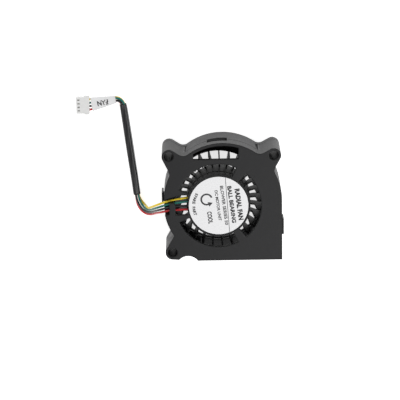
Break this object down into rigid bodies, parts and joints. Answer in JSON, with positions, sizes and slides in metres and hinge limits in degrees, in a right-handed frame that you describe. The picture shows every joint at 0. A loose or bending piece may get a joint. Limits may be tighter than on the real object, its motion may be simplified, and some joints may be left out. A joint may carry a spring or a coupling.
{
  "type": "blower fan",
  "caption": "Small radial blower fan with a snap-together scroll case, screw ears, a bladed rotor on ball bearings, and a sleeved wire lead with a plug.",
  "frame": {"origin": "centre of the blower's bounding box, without its lead, at the back face that it lies on", "axes": "+Z along the rotor's axis, from the back face to the labelled front face; -Y out of the outlet mouth; the lead leaves towards -X"},
  "size_m": [0.0852, 0.0666, 0.02],
  "materials": {
    "case_plastic": "satin black moulded plastic",
    "impeller_plastic": "satin black moulded plastic",
    "label_film": "satin white film label",
    "steel": "turned steel",
    "tinned_steel": "tin-plated contact metal",
    "core_steel": "stamped silicon-steel laminations",
    "magnet_rubber": "bonded ferrite, matte",
    "brass": "turned brass",
    "copper": "enamelled copper wire",
    "insulator_nylon": "natural nylon",
    "board": "green solder mask",
    "chip": "moulded epoxy",
    "ceramic": "fired ceramic",
    "wire_yellow": "yellow wire insulation",
    "wire_green": "blue-green wire insulation",
    "wire_black": "black wire insulation",
    "wire_red": "red wire insulation",
    "sleeve_rubber": "black sleeving",
    "tag_film": "white film tag",
    "plug_nylon": "white nylon housing"
  },
  "bodies": {
    "housing": {"front_housing": "case_plastic", "rear_shell": "case_plastic", "hub_label": "label_film", "stator_core": "core_steel", "upper_insulator": "insulator_nylon", "lower_insulator": "insulator_nylon", "coil_1": "copper", "coil_2": "copper", "coil_3": "copper", "coil_4": "copper", "circuit_board": "board", "hall_sensor": "chip", "driver_chip": "chip", "capacitor": "ceramic", "resistor": "chip", "front_bearing_outer": "steel", "rear_bearing_outer": "steel", "preload_spring": "steel", "wire_yellow": "wire_yellow", "wire_green": "wire_green", "wire_black": "wire_black", "wire_red": "wire_red", "lead_sleeve": "sleeve_rubber", "wire_tag": "tag_film", "connector_housing": "plug_nylon", "terminal_1": "tinned_steel", "terminal_2": "tinned_steel", "terminal_3": "tinned_steel", "terminal_4": "tinned_steel"},
    "rotor": {"impeller": "impeller_plastic", "rotor_yoke": "steel", "ring_magnet": "magnet_rubber", "shaft": "steel", "shaft_bushing": "brass", "front_bearing_inner": "steel", "rear_bearing_inner": "steel", "retaining_clip": "steel", "thrust_washer": "brass"},
    "front_cage": {"front_ball_cage": "steel"},
    "rear_cage": {"rear_ball_cage": "steel"}
  },
  "joints": [
    {"name": "rotor_spin", "type": "hinge", "parent": "housing", "child": "rotor", "pos_m": [-0.00183, -0.00145, 0.01], "axis": [0, 0, 1], "continuous": true},
    {"name": "front_cage_spin", "type": "hinge", "parent": "housing", "child": "front_cage", "pos_m": [-0.00183, -0.00145, 0.01], "axis": [0, 0, 1], "continuous": true},
    {"name": "rear_cage_spin", "type": "hinge", "parent": "housing", "child": "rear_cage", "pos_m": [-0.00183, -0.00145, 0.01], "axis": [0, 0, 1], "continuous": true}
  ],
  "couplings": [
    {"joint": "front_cage_spin", "follows": "rotor_spin", "ratio": 0.42},
    {"joint": "rear_cage_spin", "follows": "rotor_spin", "ratio": 0.42}
  ]
}
